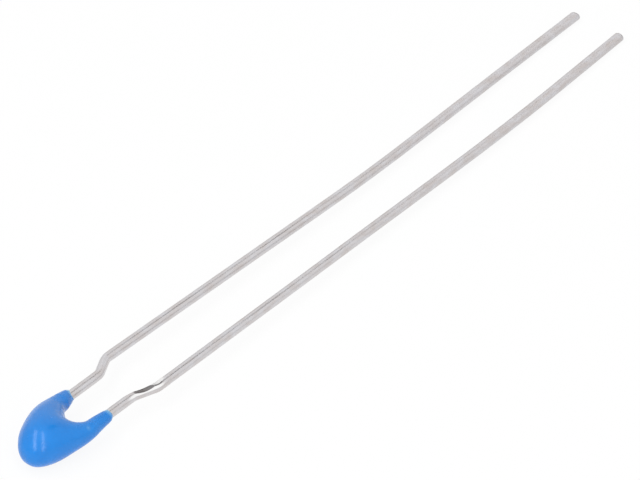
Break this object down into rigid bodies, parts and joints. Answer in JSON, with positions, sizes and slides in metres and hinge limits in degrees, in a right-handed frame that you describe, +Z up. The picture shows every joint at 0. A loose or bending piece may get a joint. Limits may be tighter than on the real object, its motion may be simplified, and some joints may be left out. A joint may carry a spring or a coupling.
{
  "type": "ntc thermistor",
  "caption": "Bead thermistor: a glossy blue epoxy drop over a sensing disc, with long kinked tinned wire leads. Its resistance falls as it warms.",
  "frame": {"origin": "centre of the footprint, on the surface that the part lies on", "axes": "+X from the left lead to the right lead, +Y from the coated head to the free lead tips, +Z up from the surface"},
  "size_m": [0.0039, 0.045, 0.0023],
  "materials": {
    "blue_epoxy": "glossy",
    "tinned_wire": "satin",
    "thermistor_ceramic": "matte",
    "fired_silver": "satin",
    "solder": "satin"
  },
  "bodies": {
    "root": {"epoxy_coating": "blue_epoxy", "lead_left": "tinned_wire", "lead_right": "tinned_wire", "ntc_disc": "thermistor_ceramic", "electrode_front": "fired_silver", "electrode_back": "fired_silver", "solder_front": "solder", "solder_back": "solder"}
  },
  "joints": []
}
